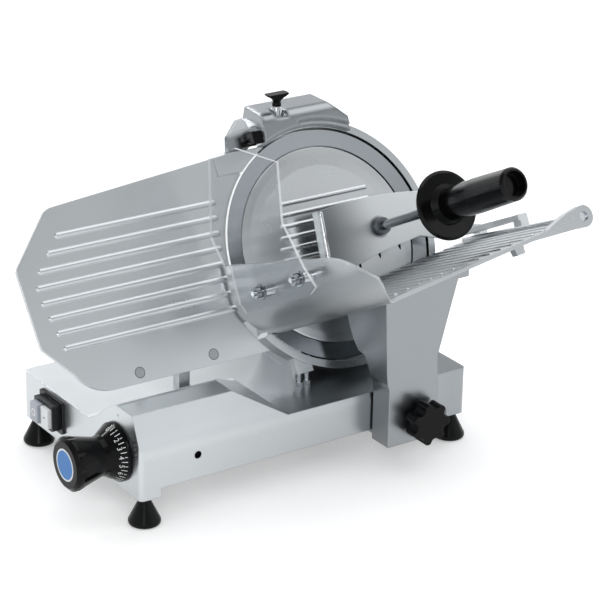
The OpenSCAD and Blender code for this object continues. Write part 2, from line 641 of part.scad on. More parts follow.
// Push button with a thin tail, on a stem that runs into the box
module sharpener_button() color("#151517") on_blade() {
    box([button_at[0] - 7, button_at[1] - 7.5, 6], [button_at[0] + 7, button_at[1] + 7.5, 12]);
    box([stem_at[0] - 4, stem_at[1] - 4, -24], [stem_at[0] + 4, stem_at[1] + 4, 6 + EPS]);
    box([button_at[0] - 24, button_at[1] - 9, 8], [button_at[0] - 4, button_at[1] - 6.6, 11]);
}

// Carriage: truck on the guide rod, arm under the front edge and tenon for the column
tenon = [[foot_x + 12, -27, arm_z0], [foot_x + foot_w - 12, -9, base_lift + 52]];
truck_x = foot_x + 6;
module carriage_truck() color("darkgray") difference() {
    union() {
        box([truck_x, rod_y - truck_d / 2, arm_z0], [truck_x + truck_w, rod_y + truck_d / 2, rod_z + truck_h]);
        box([truck_x, tenon[0][1], arm_z0], [truck_x + truck_w, rod_y, arm_z1]);
        box(tenon[0], tenon[1]);
        box([roller_x - 7, base_wall + rail_d + 2, arm_z0], [roller_x + 7, base_wall + rail_d + 9, roller_z + 7]);
    }
    rod_x(truck_x - 1, truck_x + truck_w + 1, rod_y, rod_z, rod_r + bush_wall);
    rod_y(roller_x, 0, base_wall + rail_d + 10, roller_z, axle_r + 0.02);
    rod_y(star_at[0], -40, -8, star_at[2], 4.3);
}
module truck_bushes() color("peru") for (x = [truck_x, truck_x + truck_w - 16]) difference() {
    rod_x(x, x + 16, rod_y, rod_z, rod_r + bush_wall - 0.02);
    rod_x(x - 1, x + 17, rod_y, rod_z, rod_r + RUN);
}
module roller_axle() color("lightsteelblue")
    rod_y(roller_x, roller_y - roller_w / 2 - 0.3, base_wall + rail_d + 9, roller_z, axle_r);
module support_roller() color("whitesmoke") difference() {
    rod_y(roller_x, roller_y - roller_w / 2, roller_y + roller_w / 2, roller_z, roller_r - 0.2);
    rod_y(roller_x, 0, 20, roller_z, axle_r + RUN);
}

// Column in front of the base: foot over the tenon, back edge shaped to pass the ridge
module carriage_column() color("#b6babd") difference() {
    union() {
        box([foot_x + 10, -30.5, deck_z + 134], [foot_x + foot_w + 41, 24, deck_z + 172]);
        column_block();
    }
    on_blade() on_floor() box([-100, 0, -400], [400, 200, 200]);
    box([tenon[0][0] - 0.3, tenon[0][1] - 0.3, 0], [tenon[1][0] + 0.3, tenon[1][1] + 0.3, tenon[1][2] + 0.3]);
    box([truck_x - 0.3, tenon[0][1], 0], [truck_x + truck_w + 0.3, 10, arm_z1 + 0.3]);
    rod_y(star_at[0], -40, star_at[1] + 21, star_at[2], 4 + RUN);
}
module column_block() intersection() {
    along_x(foot_x - 20, foot_x + foot_w + 60) polygon(concat([[-34, base_lift + 1]],
        [for (i = [0:8]) let (u = i / 8) [-34 + 2.5 * ease(u), deck_z + 6 + 38 * u]], [[-31, deck_z + 170], [60, deck_z + 170], [49, deck_z + 90], [42, deck_z + 69], [34, deck_z + 54],
        [25, ridge_z + 5], [ridge_lean - 4, ridge_z + 4], [ridge_lean - 9, ridge_z - 5], [1, deck_z + 20], [-2, deck_z + 6],
        [-2.5, deck_z], [-2.5, base_lift + 1]]));
    along_y(-60, 80) polygon([[foot_x, base_lift], [foot_x + foot_w, base_lift], [foot_x + foot_w, deck_z + 44],
        [foot_x + foot_w + 24, deck_z + 130], [foot_x + foot_w + 35, deck_z + 170], [foot_x - 9, deck_z + 170],
        [foot_x - 7, deck_z + 126], [foot_x - 2, deck_z + 22], [foot_x, deck_z + 16]]);
}
module star_knob() color("#17181a") translate(star_at) rotate([90, 0, 0]) difference() {
    union() {
        cylinder_between(-20, 3, 4);
        cylinder_between(2.4, 8, 10);
        cylinder_between(8, 26, 20);
        for (i = [0:6]) rotate([0, 0, i * 360 / 7]) translate([19.5, 0, 8]) cylinder(h = 18, r = 6.5);
    }
    for (i = [0:6]) rotate([0, 0, (i + 0.5) * 360 / 7]) translate([25.5, 0, 0]) cylinder(h = 30, r = 6);
}

// Tray: upright wall and wide bend that reach out into a round nose, and a ribbed floor that climbs towards the blade
floor_tilt = 3;
nose = 65;
module on_floor() translate([floor_s, floor_t, tray_len]) rotate([0, 0, tray_rise]) rotate([floor_tilt, 0, 0]) children();
floor_end = (tray_end - floor_s) / cos(tray_rise);
module tray_section() polygon(concat([[-fence_s, fence_top]], arc([bend_s, bend_t], tray_bend, 180, 270 + tray_rise, 24),
    arc([bend_s, bend_t], tray_bend - tray_wall, 270 + tray_rise, 180, 24), [[-fence_s + tray_wall, fence_top]]));
// Solid foot of the floor, where it runs into the bend
module tray_fill() intersection() {
    on_floor() box([-45, -30, -tray_len], [2, tray_wall, 20]);
    along_z(tray_n0, tray_len + 40) polygon(concat([[-fence_s + 1.5, 0]], arc([bend_s, bend_t], tray_bend - 1.5, 180, 270 + tray_rise, 24),
        [[floor_s + 10, floor_under(floor_s + 10) + 1.6], [floor_s + 10, 0]]));
}
// Plan of the tray: its front edge sweeps out round the bend
module tray_plan() polygon(concat([[-fence_s - 1, tray_n0], [tray_end, tray_n0], [tray_end, tray_len - 9]],
    [for (i = [0:14]) let (u = i / 14) [-80 - (fence_s - 81) * u, tray_len + 2 + nose * ease(u)]], [[-fence_s - 1, tray_len + 2 + nose]]));
// Part above the wall's top edge, which falls slowly and then curves down round the nose
module fence_edge() translate([-fence_s - 5, 0, 0]) rotate([0, 90, 0]) linear_extrude(fence_s - 20)
    polygon(concat([[-tray_n0 + 5, fence_top + 1], [-tray_n0, fence_top]],
        [for (i = [0:12]) let (v = i / 12) [-(tray_len - 16 + 81 * v), fence_top - 26 - 9.7 * v - 28 * v * v]],
        [[-tray_len - nose - 30, -76], [-tray_len - nose - 30, fence_top + 1]]));
module tray() color("#c6cacd") on_blade() difference() {
    union() {
        difference() {
            intersection() {
                union() {
                    along_z(tray_n0, tray_len + nose + 10) tray_section();
                    tray_fill();
                    on_floor() box([-3, 0, -tray_len - 10], [floor_end + 10, tray_wall, 8]);
                }
                rotate([90, 0, 0]) translate([0, 0, -200]) linear_extrude(400) tray_plan();
            }
            fence_edge();
        }
        tray_ribs();
        rod_lugs();
    }
    for (a = nut_at) translate([-fence_s, a[1], a[0]]) rotate([0, 90, 0]) cylinder(h = 20, r = 3 + RUN, center = true);
    translate([push_s, push_t, 0]) cylinder_between(0, 400, push_rod_r + RUN);
}
tray_rib_pitch = 17;
tray_rib_r = 2.4;
tray_rib_h = 1.7;
module tray_rib() translate([0, 0, -tray_len]) rotate_extrude($fn = 32)
    polygon(concat(arc([0, tray_n0 + 8 + tray_rib_r], tray_rib_r, -90, 0, 4), arc([0, tray_len - 16 - tray_rib_r], tray_rib_r, 0, 90, 4)));
module tray_ribs() {
    on_floor() for (x = [2:tray_rib_pitch:floor_end - 14]) translate([x, tray_wall + tray_rib_h - tray_rib_r, 0]) tray_rib();
    along_z(tray_len - 22, tray_len - 12) let (s = tray_end - 94)
        polygon([[s, floor_under(s) + 2.4], [s + 3, floor_under(s) - 8], [s + 14, floor_under(s) - 7], [s + 14, floor_under(s + 14) + 2.4]]);
}
// Rim along the tray's right edge, with a web that widens into the front lug, and the rear lug
rim_w = 6;
rim_t = floor_under(tray_end) + tray_wall;
lug_front = tray_len - 10;
module rod_lugs() {
    on_floor() along_z(tray_n0 + 2 - tray_len, lug_front - tray_len) polygon(concat([[floor_end - rim_w - 0.5, 1], [floor_end - 0.5, 0.3]],
        arc([floor_end - rim_w / 2 - 0.5, tray_wall + 1.6], rim_w / 2, 0, 180, 10)));
    along_z(lug_front - 12, lug_front) polygon(concat([[tray_end - 70, floor_under(tray_end - 70) + 0.4]],
        arc([push_s, push_t], lug_r, 250, 470, 30), [[tray_end - 12, push_t + 7], [tray_end - 40, floor_under(tray_end - 40) + 6]]));
    along_z(tray_n0, eyes[0][0] - 2) polygon(concat([[tray_end - 20, floor_under(tray_end - 20) + 0.4]],
        arc([push_s, push_t], eye_r, 260, 460, 30), [[tray_end - 20, rim_t + 7.5]]));
}

// Clear shield beside the tray's wall, on two studs
module hand_shield() color([0.85, 0.9, 0.93, 0.35]) on_blade() difference() {
    translate([shield_s, 0, 0]) rotate([0, -90, 0]) linear_extrude(shield_t)
        polygon([[15, 36], [55, 122], [115, 122], [195, 90], [174, 26], [195, -28], [209, -52], [195, -58], [51, -58], [42, -46],
            [42, 0], [29, 1]]);
    for (a = nut_at) translate([shield_s, a[1], a[0]]) rotate([0, 90, 0]) cylinder(h = 20, r = 3.2, center = true);
}
module shield_studs() color("gainsboro") on_blade() for (a = nut_at) translate([0, a[1], a[0]]) rotate([0, -90, 0]) {
    cylinder_between(fence_s - tray_wall - 3, fence_s + 28, 3);
    cylinder_between(fence_s, -shield_s, 6.5);
    cylinder_between(fence_s - tray_wall - 7.5, fence_s - tray_wall - 2, 6);
}
module shield_nuts() color("#2a2b2d") on_blade() for (a = nut_at) translate([0, a[1], a[0]]) rotate([0, -90, 0]) difference() {
    union() {
        cylinder_between(-shield_s + shield_t, -shield_s + shield_t + 1.6, 9);
        cylinder_between(-shield_s + shield_t + 1.6, -shield_s + shield_t + 9, 6.5);
    }
    cylinder_between(0, 400, 3 + RUN);
}

// Pusher on its rod: arm with two eyes, plate with a bent edge, handle, grip and spikes
module on_push() on_blade() translate([push_s, push_t, 0]) children();
module pusher_rod() color("gainsboro") on_push() cylinder_between(tray_n0, lug_front - 3, push_rod_r);
module pusher_bushes() color("#e8e4d8") on_push() for (e = eyes) tube_z(e[0], e[1], bush_r, push_rod_r + RUN);
arm_t = push_t + eye_r + 12.5;
arm_w = 7;
// Lower edge of the pusher plate, and the height of that edge at a place along it
plate_edge = [[-10, -38], [18, -33], [48, -25.5], [81, -20.5], [112, -16]];
function edge_at(s) = lookup(s, plate_edge);
function plate_outline() = concat([[-32, -28], [-26, -36]], plate_edge, [[150, arm_t - arm_w],
    [push_s + 4, arm_t - arm_w], [push_s + 4, arm_t], [172, arm_t + 10], [146, 27]],
    [for (i = [0:8]) let (u = i / 8) [126 - 153 * u, 37 + 22 * u * (1 - u) + u]]);
module pusher_plate() color("#c3c7ca") on_blade() difference() {
    union() {
        along_z(plate_n, plate_n + 4) polygon(plate_outline());
        along_z(plate_n, plate_n + 15) polygon([[-32, -28], [-27, 38], [-22, 38], [-27, -29]]);
        for (e = eyes) translate([push_s, push_t, 0]) {
            tube_z(e[0], e[1], eye_r, bush_r + RUN);
            box([-6, bush_r + 1, e[0]], [6, arm_t - push_t, e[1]]);
        }
        box([push_s - 8, arm_t - arm_w, eyes[0][0]], [push_s + 6, arm_t, eyes[1][1]]);
        rotate([90, 0, 0]) translate([0, 0, -arm_t]) linear_extrude(arm_w)
            polygon([[150, plate_n], [push_s - 7, plate_n], [push_s - 7, eyes[1][1]], [push_s - 20, eyes[1][0] - 20]]);
        translate([handle_s, handle_t, 0]) cylinder_between(plate_n, plate_n + 14, 10);
    }
    translate([handle_s, handle_t, 0]) cylinder_between(plate_n + 3, plate_n + 30, handle_r + 0.02);
}
module pusher_handle() color("gray") on_blade() translate([handle_s, handle_t, 0])
    cylinder_between(plate_n + 3, grip_end - 30, handle_r);
module pusher_grip() color("#131315") on_blade() translate([handle_s, handle_t, 0]) difference() {
    rotate_extrude() polygon(concat([[handle_r + 0.02, guard_n], [16, guard_n]], [[guard_r - 2, guard_n + 1], [guard_r, guard_n + 2.5],
        [guard_r, guard_n + 4.5], [guard_r - 3, guard_n + 6], [24, guard_n + 8], [grip_r, guard_n + 16]],
        [[grip_r, guard_n + 18], [grip_r + 0.8, (guard_n + grip_end) / 2], [grip_r - 0.5, grip_end - 3], [grip_r - 3, grip_end],
        [grip_r - 5, grip_end], [grip_r - 6, grip_end - 12], [0, grip_end - 12], [0, grip_end - 30], [handle_r + 0.02, grip_end - 30]]));
}
// Four pins that point down past the plate's lower edge, on a strip behind the plate
spike_pitch = 30.6;
module pusher_spikes() color("#3a3c3f") on_blade() {
    along_z(plate_n - 3, plate_n) polygon(concat([for (s = [-14, 18, 48, 81, 90]) [s, edge_at(s) + 4]],
        [for (s = [90, 81, 48, 18, -14]) [s, edge_at(s) + 11]]));
    for (i = [0:3]) let (s = -9 + spike_pitch * i)
        translate([s, edge_at(s) + 8, plate_n - 1.6]) rotate([90, 0, 0]) {
            cylinder(h = 11, r = 1.5);
            translate([0, 0, 11 - EPS]) cylinder(h = 3.6, r1 = 1.5, r2 = 0.4);
        }
}

placed() base_casting();
placed() bottom_plate();
placed() rubber_feet();
placed() guide_rod();
placed() roller_rail();
placed() gauge_guide_rods();
placed() dial_bush();
placed() switch_box();
placed() stop_button();
placed() start_button();
placed() dial_knob();
placed() dial_disc();
placed() dial_shaft();
placed() scroll_cam();
placed() gauge_plate();
placed() gauge_support();
placed() gauge_slide();
placed() follower_pin();
placed() gauge_screws();
placed() head_casting();
placed() ring_posts();
placed() blade_bearings();
placed() motor_housing();
placed() motor_body();
placed() drive_belt();
placed() slice_deflector();
placed() blade_cover();
placed() cover_tie_rod();
placed() cover_knob();
placed() blade();
placed() blade_shaft();
placed() blade_pulley();
placed() blade_screws();
placed() motor_shaft();
placed() motor_pulley();
placed() sharpener_hood();
placed() sharpener_stones();
placed() sharpener_ferrule();
placed() sharpener_knob();
placed() sharpener_button();
placed() carriage_truck();
placed() truck_bushes();
placed() roller_axle();
placed() support_roller();
placed() carriage_column();
placed() star_knob();
placed() tray();
placed() hand_shield();
placed() shield_studs();
placed() shield_nuts();
placed() pusher_rod();
placed() pusher_bushes();
placed() pusher_plate();
placed() pusher_handle();
placed() pusher_grip();
placed() pusher_spikes();
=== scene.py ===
import math

import bmesh
import bpy
import numpy as np
from mathutils import Matrix, Vector


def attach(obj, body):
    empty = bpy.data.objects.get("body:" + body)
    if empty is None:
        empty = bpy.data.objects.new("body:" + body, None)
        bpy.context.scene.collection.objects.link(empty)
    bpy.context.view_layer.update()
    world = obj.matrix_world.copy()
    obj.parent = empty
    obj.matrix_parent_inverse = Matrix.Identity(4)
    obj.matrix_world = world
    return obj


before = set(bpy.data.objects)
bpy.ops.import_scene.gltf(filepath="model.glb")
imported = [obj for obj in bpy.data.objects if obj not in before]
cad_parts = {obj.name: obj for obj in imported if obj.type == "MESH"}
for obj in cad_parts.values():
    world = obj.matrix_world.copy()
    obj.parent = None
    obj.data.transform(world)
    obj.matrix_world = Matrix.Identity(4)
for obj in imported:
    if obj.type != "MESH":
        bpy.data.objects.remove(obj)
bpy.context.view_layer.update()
scene = bpy.context.scene
scene.view_settings.view_transform = "Standard"

# Camera at the photograph's place: in front of the dial's end, looking down on the tray.
# Its angles and lens come from the base's edges and the blade's circle in the 600 by 600 frame.
CAMERA_AZIMUTH = math.radians(-34.535)
CAMERA_ELEVATION = math.radians(22.547)
CAMERA_ROLL = math.radians(1.219)
CAMERA_DISTANCE = 2.6473
CAMERA_TARGET = Vector((0.1274, -0.1131, 0.2827))
FRAME_PIXELS = 600
FOCAL_PIXELS = 2474.4
SENSOR_MM = 36.0
SIGHT_LIMIT = 50.0

back = Vector((math.sin(CAMERA_AZIMUTH) * math.cos(CAMERA_ELEVATION),
               -math.cos(CAMERA_AZIMUTH) * math.cos(CAMERA_ELEVATION),
               math.sin(CAMERA_ELEVATION)))
level_right = (-back).cross(Vector((0, 0, 1))).normalized()
level_up = level_right.cross(-back)
right = level_right * math.cos(CAMERA_ROLL) + level_up * math.sin(CAMERA_ROLL)
up = level_up * math.cos(CAMERA_ROLL) - level_right * math.sin(CAMERA_ROLL)
camera = bpy.data.objects.new("camera", bpy.data.cameras.new("camera"))
camera.data.sensor_width = SENSOR_MM
camera.data.lens = FOCAL_PIXELS / FRAME_PIXELS * SENSOR_MM
camera.data.clip_end = SIGHT_LIMIT
turn = Matrix((right, up, back)).transposed().to_4x4()
camera.matrix_world = Matrix.Translation(CAMERA_TARGET + back * CAMERA_DISTANCE) @ turn
scene.collection.objects.link(camera)
scene.camera = camera


# Studio: a white paper floor under a room that is bright low down and dim overhead.
# Soft boxes stand overhead, behind and in front; two narrow strips draw lines on black parts.
def linear(text):
    """An sRGB hex colour as linear light, with full opacity."""
    channels = np.array([int(text[i:i + 2], 16) / 255 for i in (1, 3, 5)])
    light = np.where(channels <= 0.04045, channels / 12.92, ((channels + 0.055) / 1.055) ** 2.4)
    return (*light.tolist(), 1.0)


def add(tree, kind, inputs=None, **settings):
    """Adds one shader node. Inputs are numbers, colours or the outputs of other nodes."""
    made = tree.nodes.new("ShaderNode" + kind)
    for key, value in settings.items():
        setattr(made, key, value)
    for key, value in (inputs or {}).items():
        if isinstance(value, bpy.types.NodeSocket):
            tree.links.new(value, made.inputs[key])
        else:
            made.inputs[key].default_value = value
    return made


FLOOR_HALF = 6.0
FLOOR_DROP = 0.0002
FLOOR_WHITE = linear("#dadada")
FLOOR_GLOW = 0.57
# Painted contact shadow: the floor's glow fades close under the machine, over this reach and by this
# much.
PAINTED_SHADOW_REACH = 0.12
PAINTED_SHADOW_LOSS = 0.32
floor_mesh = bpy.data.meshes.new("floor")
corners = np.array([(-1, -1, 0), (1, -1, 0), (1, 1, 0), (-1, 1, 0)]) * FLOOR_HALF
floor_mesh.from_pydata((corners - (0, 0, FLOOR_DROP)).tolist(), [], [(0, 1, 2, 3)])
floor = bpy.data.objects.new("floor", floor_mesh)
scene.collection.objects.link(floor)
floor_paper = bpy.data.materials.new("white_paper")
floor_paper.use_nodes = True
tree = floor_paper.node_tree
tree.nodes.clear()
path = add(tree, "LightPath")
direct = add(tree, "Math", {0: path.outputs["Is Camera Ray"], 1: path.outputs["Is Glossy Ray"]},
             operation="MAXIMUM")
seen = add(tree, "Math", {0: direct.outputs[0], 1: path.outputs["Is Transmission Ray"]},
           operation="MAXIMUM")
# Painted shadow: ambient occlusion lowers the floor's glow near the machine, on top of its lit shadow.
open_floor = add(tree, "AmbientOcclusion", {"Distance": PAINTED_SHADOW_REACH}, samples=8)
painted_shadow_glow = add(tree, "MapRange", {"Value": open_floor.outputs["AO"], "To Min": FLOOR_GLOW - PAINTED_SHADOW_LOSS,
                              "To Max": FLOOR_GLOW})
glow = add(tree, "Math", {0: seen.outputs[0], 1: painted_shadow_glow.outputs[0]}, operation="MULTIPLY")
plain = add(tree, "Emission", {"Color": (1, 1, 1, 1), "Strength": glow.outputs[0]})
lit = add(tree, "BsdfDiffuse", {"Color": FLOOR_WHITE})
paper = add(tree, "AddShader", {0: lit.outputs[0], 1: plain.outputs[0]})
add(tree, "OutputMaterial", {"Surface": paper.outputs[0]})
floor_mesh.materials.append(floor_paper)

ROOM_TINT = linear("#fbfdff")
ROOM_LOW = 1.0
ROOM_HIGH = 0.42
DIMS_FROM = 0.26
DIMS_TO = 0.6
sky = bpy.data.worlds.new("studio")
sky.use_nodes = True
tree = sky.node_tree
tree.nodes.clear()
direction = add(tree, "TexCoord").outputs["Generated"]
height = add(tree, "SeparateXYZ", {0: direction})
fall = add(tree, "MapRange", {"Value": height.outputs["Z"], "From Min": DIMS_FROM, "From Max": DIMS_TO,
                              "To Min": ROOM_LOW, "To Max": ROOM_HIGH}, interpolation_type="SMOOTHSTEP")
light = add(tree, "Background", {"Color": ROOM_TINT, "Strength": fall.outputs[0]})
add(tree, "OutputWorld", {"Surface": light.outputs[0]})
scene.world = sky

LAMPS = {
    "overhead_box": ((1.1, 0.1, 2.4), 2.4, 2.4, 22.0),
    "front_box": ((1.5, -1.95, 0.9), 1.2, 1.2, 1.0),
    "back_box": ((0.94, 2.4, 1.08), 1.2, 1.2, 3.2),
    "edge_strip": ((-0.32, 1.94, 1.66), 0.9, 0.22, 13.0),
    "corner_strip": ((-1.1, -1.6, 1.6), 0.18, 1.0, 9.0),
}
LAMP_AIM = Vector((0.22, 0.05, 0.2))
for name, (place, width, depth, watts) in LAMPS.items():
    lamp = bpy.data.objects.new(name, bpy.data.lights.new(name, "AREA"))
    lamp.data.shape = "RECTANGLE"
    lamp.data.size = width
    lamp.data.size_y = depth
    lamp.data.energy = watts
    lamp.location = place
    lamp.rotation_euler = (Vector(place) - LAMP_AIM).to_track_quat("Z", "Y").to_euler()
    scene.collection.objects.link(lamp)


# Base: one aluminium casting, bead blasted and anodised, with eased edges.
# A blind oiling hole in its front ends in a dark cup that is pressed in from outside.
WELD_REACH = 1e-7


def finish(name, **sockets):
    """A material with one principled shader, its plain sockets set by name."""
    made = bpy.data.materials.new(name)
    made.use_nodes = True
    shader = made.node_tree.nodes["Principled BSDF"]
    for key, value in sockets.items():
        shader.inputs[key.replace("_", " ")].default_value = value
    return made, made.node_tree, shader


def dress(material, *nodes):
    """Puts a material on CAD nodes."""
    for name in nodes:
        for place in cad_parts[name].material_slots:
            place.material = material


def grain(tree, shader, spacing_mm, depth_mm, stretch=(1, 1, 1), edge_mm=0.6):
    """Fine noise as bump, drawn out by stretch, on edges that catch light as if rounded by edge_mm."""
    place = add(tree, "TexCoord")
    spread = add(tree, "Mapping", {"Vector": place.outputs["Object"], "Scale": stretch})
    noise = add(tree, "TexNoise", {"Vector": spread.outputs[0], "Scale": 1000 / spacing_mm,
                                   "Detail": 2.0})
    edge = add(tree, "Bevel", {"Radius": edge_mm / 1000}, samples=4)
    bump = add(tree, "Bump", {"Height": noise.outputs[0], "Distance": depth_mm / 1000, "Strength": 1.0,
                              "Normal": edge.outputs[0]})
    tree.links.new(bump.outputs[0], shader.inputs["Normal"])


def patchy(tree, shader, socket, low, high, size_mm):
    """Slow variation of one socket between two values, over patches of a real size."""
    place = add(tree, "TexCoord")
    noise = add(tree, "TexNoise", {"Vector": place.outputs["Object"], "Scale": 1000 / size_mm,
                                   "Detail": 3.0})
    spread = add(tree, "MapRange", {"Value": noise.outputs[0], "From Min": 0.3, "From Max": 0.7,
                                    "To Min": low, "To Max": high})
    tree.links.new(spread.outputs[0], shader.inputs[socket])


def settle(name, points, faces, material, body):
    """A piece on its body, from points in metres: equal points weld and faces turn outward."""
    mesh = bpy.data.meshes.new(name)
    mesh.from_pydata(points, [], faces)
    welded = bmesh.new()
    welded.from_mesh(mesh)
    bmesh.ops.remove_doubles(welded, verts=welded.verts, dist=WELD_REACH)
    bmesh.ops.recalc_face_normals(welded, faces=welded.faces)
    welded.to_mesh(mesh)
    welded.free()
    made = bpy.data.objects.new(name, mesh)
    scene.collection.objects.link(made)
    mesh.materials.append(material)
    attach(made, body)
    return made


def skin(name, grids, material, body):
    """A closed piece over grids of points, each rows by columns. Columns run round and meet."""
    count, rows, columns = grids.shape[:3]
    index = np.arange(count * rows * columns).reshape(count, rows, columns)
    after = np.roll(index, -1, axis=2)
    quads = np.stack([index[:, :-1], after[:, :-1], after[:, 1:], index[:, 1:]], axis=-1)
    points = grids.reshape(-1, 3).tolist()
    return settle(name, points, quads.reshape(-1, 4).tolist(), material, body)


# Blasted and anodised casting: soft, wide reflections, with painted shade that darkens its colour towards
# the far end in place of the reflections and shade there.
PAINTED_SHADE_START = 0.05
PAINTED_SHADE_FULL = 0.42
blasted_aluminium, tree, shader = finish("blasted_aluminium", Metallic=1.0)
grain(tree, shader, spacing_mm=0.5, depth_mm=0.0012, edge_mm=1.6)
patchy(tree, shader, "Roughness", 0.27, 0.33, 60)
# Painted shade: the base colour goes from pale to deep grey along its length.
place = add(tree, "TexCoord")
run = add(tree, "SeparateXYZ", {0: place.outputs["Object"]})
painted_shading_ramp = add(tree, "MapRange", {"Value": run.outputs["X"], "From Min": PAINTED_SHADE_START, "From Max": PAINTED_SHADE_FULL})
painted_shading_tone = add(tree, "Mix", {"Factor": painted_shading_ramp.outputs[0], "A": linear("#c9cdcf"), "B": linear("#9da1a4")},
           data_type="RGBA")
tree.links.new(painted_shading_tone.outputs["Result"], shader.inputs["Base Color"])
dress(blasted_aluminium, "base_casting")

# Blackened steel: a dark hole with a dull gleam on its lip.
blackened_steel, tree, shader = finish("blackened_steel", Base_Color=linear("#1c1d1f"), Metallic=1.0)
grain(tree, shader, spacing_mm=0.6, depth_mm=0.003)
patchy(tree, shader, "Roughness", 0.4, 0.55, 5)
OIL_HOLE = np.array((63.0, -12.0, 73.0))
CUP_PROFILE = np.array([(0, 4.2), (3.9, 4.2), (4.2, 0.4), (4.5, 0.4), (4.5, 5.0), (0, 5.0)])
ROUND_STEPS = 48
around = np.linspace(0, 2 * np.pi, ROUND_STEPS, endpoint=False)
# Each profile point (radius, depth) goes round the hole's axis, which runs straight into the front.
cup = np.stack([OIL_HOLE[0] + CUP_PROFILE[:, :1] * np.cos(around),
                OIL_HOLE[1] + CUP_PROFILE[:, 1:] + 0 * around,
                OIL_HOLE[2] + CUP_PROFILE[:, :1] * np.sin(around)], axis=-1)
skin("oil_cup", cup[None] / 1000, blackened_steel, "stand")

# Underside: a galvanised sheet closes the base and four moulded rubber feet carry it.
# The feet come out of a polished mould, so their cones shine; the sheet has a faint spangle.
# Galvanised sheet: mid grey and cloudy, with blurred reflections.
zinc_sheet, tree, shader = finish("zinc_sheet", Base_Color=linear("#a9adb0"), Metallic=1.0)
grain(tree, shader, spacing_mm=2, depth_mm=0.004)
patchy(tree, shader, "Roughness", 0.3, 0.45, 12)
dress(zinc_sheet, "bottom_plate")
# Moulded rubber: black with a long soft highlight.
moulded_rubber, tree, shader = finish("moulded_rubber", Base_Color=linear("#060707"),
                                      Specular_IOR_Level=0.16)
grain(tree, shader, spacing_mm=1.5, depth_mm=0.006)
patchy(tree, shader, "Roughness", 0.16, 0.26, 12)
dress(moulded_rubber, "rubber_feet")

# Guides inside the base: rods ground round for the carriage and the gauge, and the roller's rail.
# They sit inside the base, the rods along and across it.
# Ground steel: bright, with a clean line of light along each rod.
ground_steel, tree, shader = finish("ground_steel", Base_Color=linear("#c9cdd0"), Metallic=1.0)
grain(tree, shader, spacing_mm=0.6, depth_mm=0.001, edge_mm=0.3)
patchy(tree, shader, "Roughness", 0.12, 0.2, 15)
dress(ground_steel, "guide_rod", "roller_rail", "gauge_guide_rods")

# Dial: a fluted phenolic knob with a conical skirt, a printed disc let into its face, and a steel shaft
# in a bronze bush that turns the scroll cam. Ticks and numbers are filled with white lacquer.
# Black phenolic: nearly black, with small sharp highlights on its flutes.
black_phenolic, tree, shader = finish("black_phenolic", Base_Color=linear("#070708"),
                                      Specular_IOR_Level=0.14)
grain(tree, shader, spacing_mm=3, depth_mm=0.004, edge_mm=1.2)
patchy(tree, shader, "Roughness", 0.12, 0.18, 20)
dress(black_phenolic, "dial_knob")
dress(ground_steel, "dial_shaft")
dress(zinc_sheet, "scroll_cam")
# Sintered bronze: warm, dull, with open pores.
sintered_bronze, tree, shader = finish("sintered_bronze", Base_Color=linear("#a8743f"), Metallic=1.0)
grain(tree, shader, spacing_mm=0.8, depth_mm=0.01)
patchy(tree, shader, "Roughness", 0.34, 0.48, 6)
dress(sintered_bronze, "dial_bush")

DIAL_Y = 40.0
DIAL_Z = 75.0
DISC_RIM = 0.0169
PRINT_EDGE = 0.0002
# Printed disc: plain blue inside a white border, under a clear gloss.
printed_disc, tree, shader = finish("printed_disc", Specular_IOR_Level=0.3, Coat_Weight=0.1)
grain(tree, shader, spacing_mm=2, depth_mm=0.002)
patchy(tree, shader, "Roughness", 0.28, 0.36, 8)
place = add(tree, "TexCoord")
centred = add(tree, "Mapping", {"Vector": place.outputs["Object"], "Scale": (0, 1, 1),
                                "Location": (0, -DIAL_Y / 1000, -DIAL_Z / 1000)})
reach = add(tree, "VectorMath", {0: centred.outputs[0]}, operation="LENGTH")
border = add(tree, "MapRange", {"Value": reach.outputs["Value"], "From Min": DISC_RIM - PRINT_EDGE,
                                "From Max": DISC_RIM})
print_colour = add(tree, "Mix", {"Factor": border.outputs[0], "A": linear("#2b7cc6"),
                                 "B": linear("#eef2f4")}, data_type="RGBA")
tree.links.new(print_colour.outputs["Result"], shader.inputs["Base Color"])
dress(printed_disc, "dial_disc")

SKIRT_RIM = np.array((-15.6, 34.5))
SKIRT_NECK = np.array((-32.0, 24.0))
slant = (SKIRT_NECK - SKIRT_RIM) / np.linalg.norm(SKIRT_NECK - SKIRT_RIM)
outward = np.array((slant[1], -slant[0]))


def on_skirt(angle, across, inward, proud):
    """Points on the skirt's cone: angle clockwise from the top seen from the knob, across along the
    circle, inward along the slope from the rim, proud off the surface; all but the angle in mm."""
    axial, radius = (SKIRT_RIM[:, None] + slant[:, None] * np.ravel(inward)
                     + outward[:, None] * np.ravel(proud))
    swing = np.ravel(angle + across / radius.reshape(np.shape(inward)))
    flat = np.stack([axial, DIAL_Y - radius * np.sin(swing), DIAL_Z + radius * np.cos(swing)], axis=-1)
    return flat.reshape(*np.shape(inward), 3) / 1000


def pad(length, width, thick):
    """A flat bar with round ends: rings of a stadium outline run from a pole below to a pole on top.
    Returns along, across and proud for each ring and each place round it."""
    turn = np.linspace(0, 2 * np.pi, 24, endpoint=False)
    ends = np.sign(np.cos(turn)) * (length - width) / 2
    scale = np.array([0, 1, 1, 0])[:, None]
    level = np.array([-1, -1, 1, 1])[:, None] * thick / 2 + 0 * turn
    return scale * (ends + np.cos(turn) * width / 2), scale * np.sin(turn) * width / 2, level


